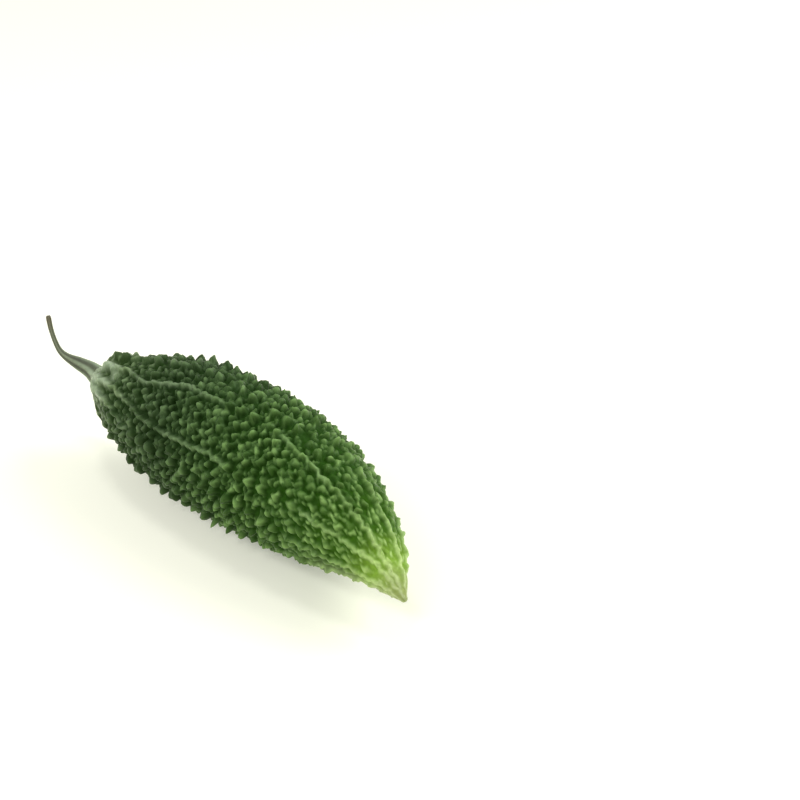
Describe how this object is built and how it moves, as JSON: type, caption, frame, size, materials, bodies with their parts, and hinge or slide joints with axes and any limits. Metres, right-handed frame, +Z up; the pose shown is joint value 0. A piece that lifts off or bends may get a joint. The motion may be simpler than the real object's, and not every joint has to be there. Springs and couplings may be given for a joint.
{
  "type": "bitter gourd",
  "caption": "Whole bitter gourd lying on its side: a bent spindle-shaped fruit with long ridges, crowded warts and a pointed tip, and a thin curved stalk.",
  "frame": {"origin": "the middle of the bounding box on the surface that the gourd lies on", "axes": "+X from the stalk end to the tip, +Y to the side that the fruit bows towards, +Z up"},
  "size_m": [0.1876, 0.0548, 0.0535],
  "materials": {
    "fruit_skin": "waxy green skin, dark at the stalk end and yellow-green at the tip",
    "stalk": "dull grey-green, lightly ribbed"
  },
  "bodies": {
    "root": {"fruit": "fruit_skin", "stalk": "stalk"}
  },
  "joints": []
}
